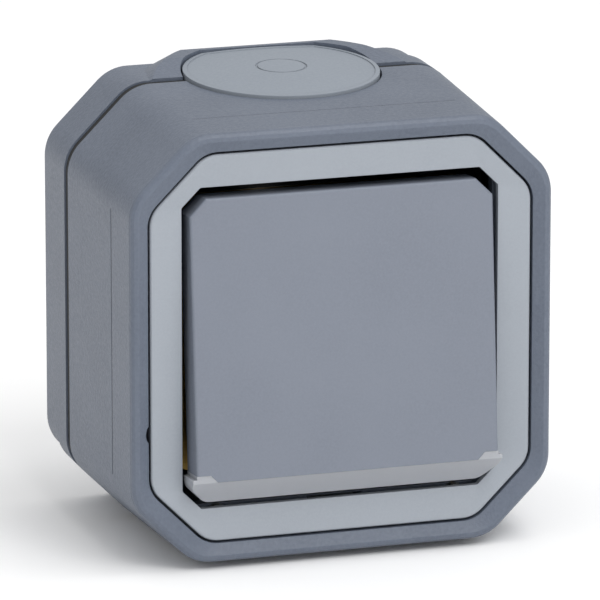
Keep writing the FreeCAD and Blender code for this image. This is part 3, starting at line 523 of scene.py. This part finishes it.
# %% A section carried along the outline
def carried_section(name, section, open_half, material):
    """Closed section of (inset, y) pairs, in mm, carried along the outline, its two ends capped.

    Station i and section point j give: outline point i minus the outward direction times the
    inset of j, at the depth y of j.
    """
    points, angles = box_outline(open_half)
    section = np.array(section)
    inset, depth = section[:, 0], section[:, 1]
    outward = np.stack([np.cos(angles), np.sin(angles)], axis=1)
    flat = points[:, None, :] - outward[:, None, :] * inset[None, :, None]
    stations, count = len(points), len(section)
    vertices = np.empty((stations, count, 3))
    vertices[..., ::2], vertices[..., 1] = flat, depth
    i, j = np.meshgrid(np.arange(stations - 1), np.arange(count), indexing="ij")
    following = (j + 1) % count
    quads = np.stack([i * count + j, i * count + following,
                      (i + 1) * count + following, (i + 1) * count + j], axis=-1).reshape(-1, 4)
    last = (stations - 1) * count
    faces = quads.tolist() + [list(range(count))[::-1], list(range(last, last + count))]
    return new_piece(name, vertices, faces, material)


# %% Seal
SEAM_FRONT, SEAM_REAR = -16.1, -13.8     # mm, the two faces that squeeze the seal
SEAL_CLEARANCE = 0.02                    # mm left to each face, so that no two faces coincide
SEAL_REACH = 3.1                         # mm, outline to the seal's inner side
LIP = [(0.5, 0.0), (0.3, 0.15), (0.25, 0.5)]   # mm, its rounding: inset, and distance from a face
seal_front, seal_rear = SEAM_FRONT + SEAL_CLEARANCE, SEAM_REAR - SEAL_CLEARANCE
rear_lip = [(inset, seal_rear - distance) for inset, distance in LIP]
front_lip = [(inset, seal_front + distance) for inset, distance in reversed(LIP)]
seal_section = [(SEAL_REACH, seal_front), (SEAL_REACH, seal_rear), *rear_lip, *front_lip]
seal = carried_section("seam_seal", seal_section, GLAND_OPENING, gasket_epdm)
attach(seal, "enclosure")
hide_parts("box_gasket")
print("seal encloses", round(enclosed_volume(seal)), "cubic mm")

# %% [markdown]
# ## The parting line of the hood
#
# A fine line runs along the middle of each flat wall of the hood, a little behind its front rim.
# The CAD has it as a shallow V groove. What makes it read as a line on the real thing is the shade
# in its bottom, where little light gets. A thin black bar as narrow as the groove, laid just inside
# it, paints that shade. The top groove, which light from above fills, gets a thinner painted bar.

# %% Painted shade in the bottom of the groove
GROOVE_Y = -39.4          # mm, its bottom
GROOVE_HALF = 37.42       # mm, middle to the wall there
GROOVE_REACH = 23.1       # mm, half its length
BAR_HALF = np.array([0.06, 0.14, 0.14, 0.14])  # mm, half a bar's width: top, right, bottom, left
BAR_TOP, BAR_FOOT = 0.05, 0.08                 # mm below the wall


def painted_shade_bars(name, material):
    """Four thin closed bars of painted shade, one in each wall: the top one turned by quarter
    turns about Y.

    The eight corners of a bar count in binary: bit 0 goes along the wall, bit 1 across the bar
    and bit 2 from its foot to its top. The order of each side's corners makes it face outwards.
    """
    bits = (np.arange(8)[:, None] >> np.arange(3)) & 1
    along = GROOVE_REACH * (2 * bits[:, 0] - 1)
    back = BAR_HALF[:, None] * (2 * bits[:, 1] - 1)
    height = GROOVE_HALF - np.where(bits[:, 2] == 1, BAR_TOP, BAR_FOOT)
    turns = math.pi / 2 * np.arange(4)
    cosine, sine = np.cos(turns)[:, None], np.sin(turns)[:, None]
    vertices = np.stack([cosine * along + sine * height, GROOVE_Y + back,
                         -sine * along + cosine * height], axis=-1)
    sides = np.array([(2, 3, 1, 0), (5, 7, 6, 4), (1, 5, 4, 0),
                      (6, 7, 3, 2), (4, 6, 2, 0), (3, 7, 5, 1)])
    faces = (sides[None] + 8 * np.arange(4)[:, None, None]).reshape(-1, 4)
    return new_piece(name, vertices, faces.tolist(), material)


# The bars are painted shade: black rubber laid where the groove's bottom only lies in shadow.
groove = painted_shade_bars("groove_painted_shade", gasket_epdm)
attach(groove, "enclosure")
print("groove bars enclose", round(enclosed_volume(groove), 2), "cubic mm")

# %% [markdown]
# ## The plunger's spring
#
# A small coil inside the rocker's hub presses the plunger onto the contact lever, and it gets
# shorter as the plunger goes in. The CAD draws its wire four-sided and can't shorten it. The coil
# here has round wire, drawn at one length.

# %% Spring
HINGE_Y = -42.0                         # mm, the rocker's hinge line, at height 0
LEAN = math.radians(4.85)               # how far the rocker leans at rest
HUB_FLOOR, PLUNGER_BACK = -4.6, -0.5    # mm from the hinge, along the rocker's own axis
COIL_RADIUS, WIRE_RADIUS = 1.7, 0.25    # mm, from the axis to the wire's middle, and of the wire
COIL_TURNS = 4
RINGS_PER_TURN, RING_POINTS = 24, 10    # rings of points in a turn, and points in a ring


def leaned(along, across, up):
    """From the rocker's own axes to the object's: a turn about X by the lean, then to the hinge."""
    return np.stack([across, HINGE_Y + along * math.cos(LEAN) + up * math.sin(LEAN),
                     -along * math.sin(LEAN) + up * math.cos(LEAN)], axis=-1)


def helix_wire(name, material):
    """Round wire along a helix, its two ends capped.

    Ring i, at turn angle t, lies round a centre that is COIL_RADIUS from the axis and climbs
    evenly. Its point j, at angle a, is that centre plus WIRE_RADIUS times cos a outwards and
    sin a along the axis.
    """
    rings = COIL_TURNS * RINGS_PER_TURN + 1
    turn = np.linspace(0, 2 * math.pi * COIL_TURNS, rings)[:, None]
    climb = np.linspace(HUB_FLOOR + WIRE_RADIUS, PLUNGER_BACK - WIRE_RADIUS, rings)[:, None]
    angle = 2 * math.pi * np.arange(RING_POINTS) / RING_POINTS
    radius = COIL_RADIUS + WIRE_RADIUS * np.cos(angle)
    along = climb + WIRE_RADIUS * np.sin(angle)
    vertices = leaned(along, radius * np.cos(turn), radius * np.sin(turn))
    i, j = np.meshgrid(np.arange(rings - 1), np.arange(RING_POINTS), indexing="ij")
    following = (j + 1) % RING_POINTS
    near, far = i * RING_POINTS, (i + 1) * RING_POINTS
    quads = np.stack([near + j, near + following, far + following, far + j], axis=-1)
    last = (rings - 1) * RING_POINTS
    faces = quads.reshape(-1, 4).tolist()
    faces += [list(range(RING_POINTS))[::-1], list(range(last, last + RING_POINTS))]
    return new_piece(name, vertices, faces, material)


coil = helix_wire("plunger_coil", spring_steel)
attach(coil, "rocker")
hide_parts("plunger_spring")
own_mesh(coil)
print("coil encloses", round(enclosed_volume(coil), 2), "cubic mm")
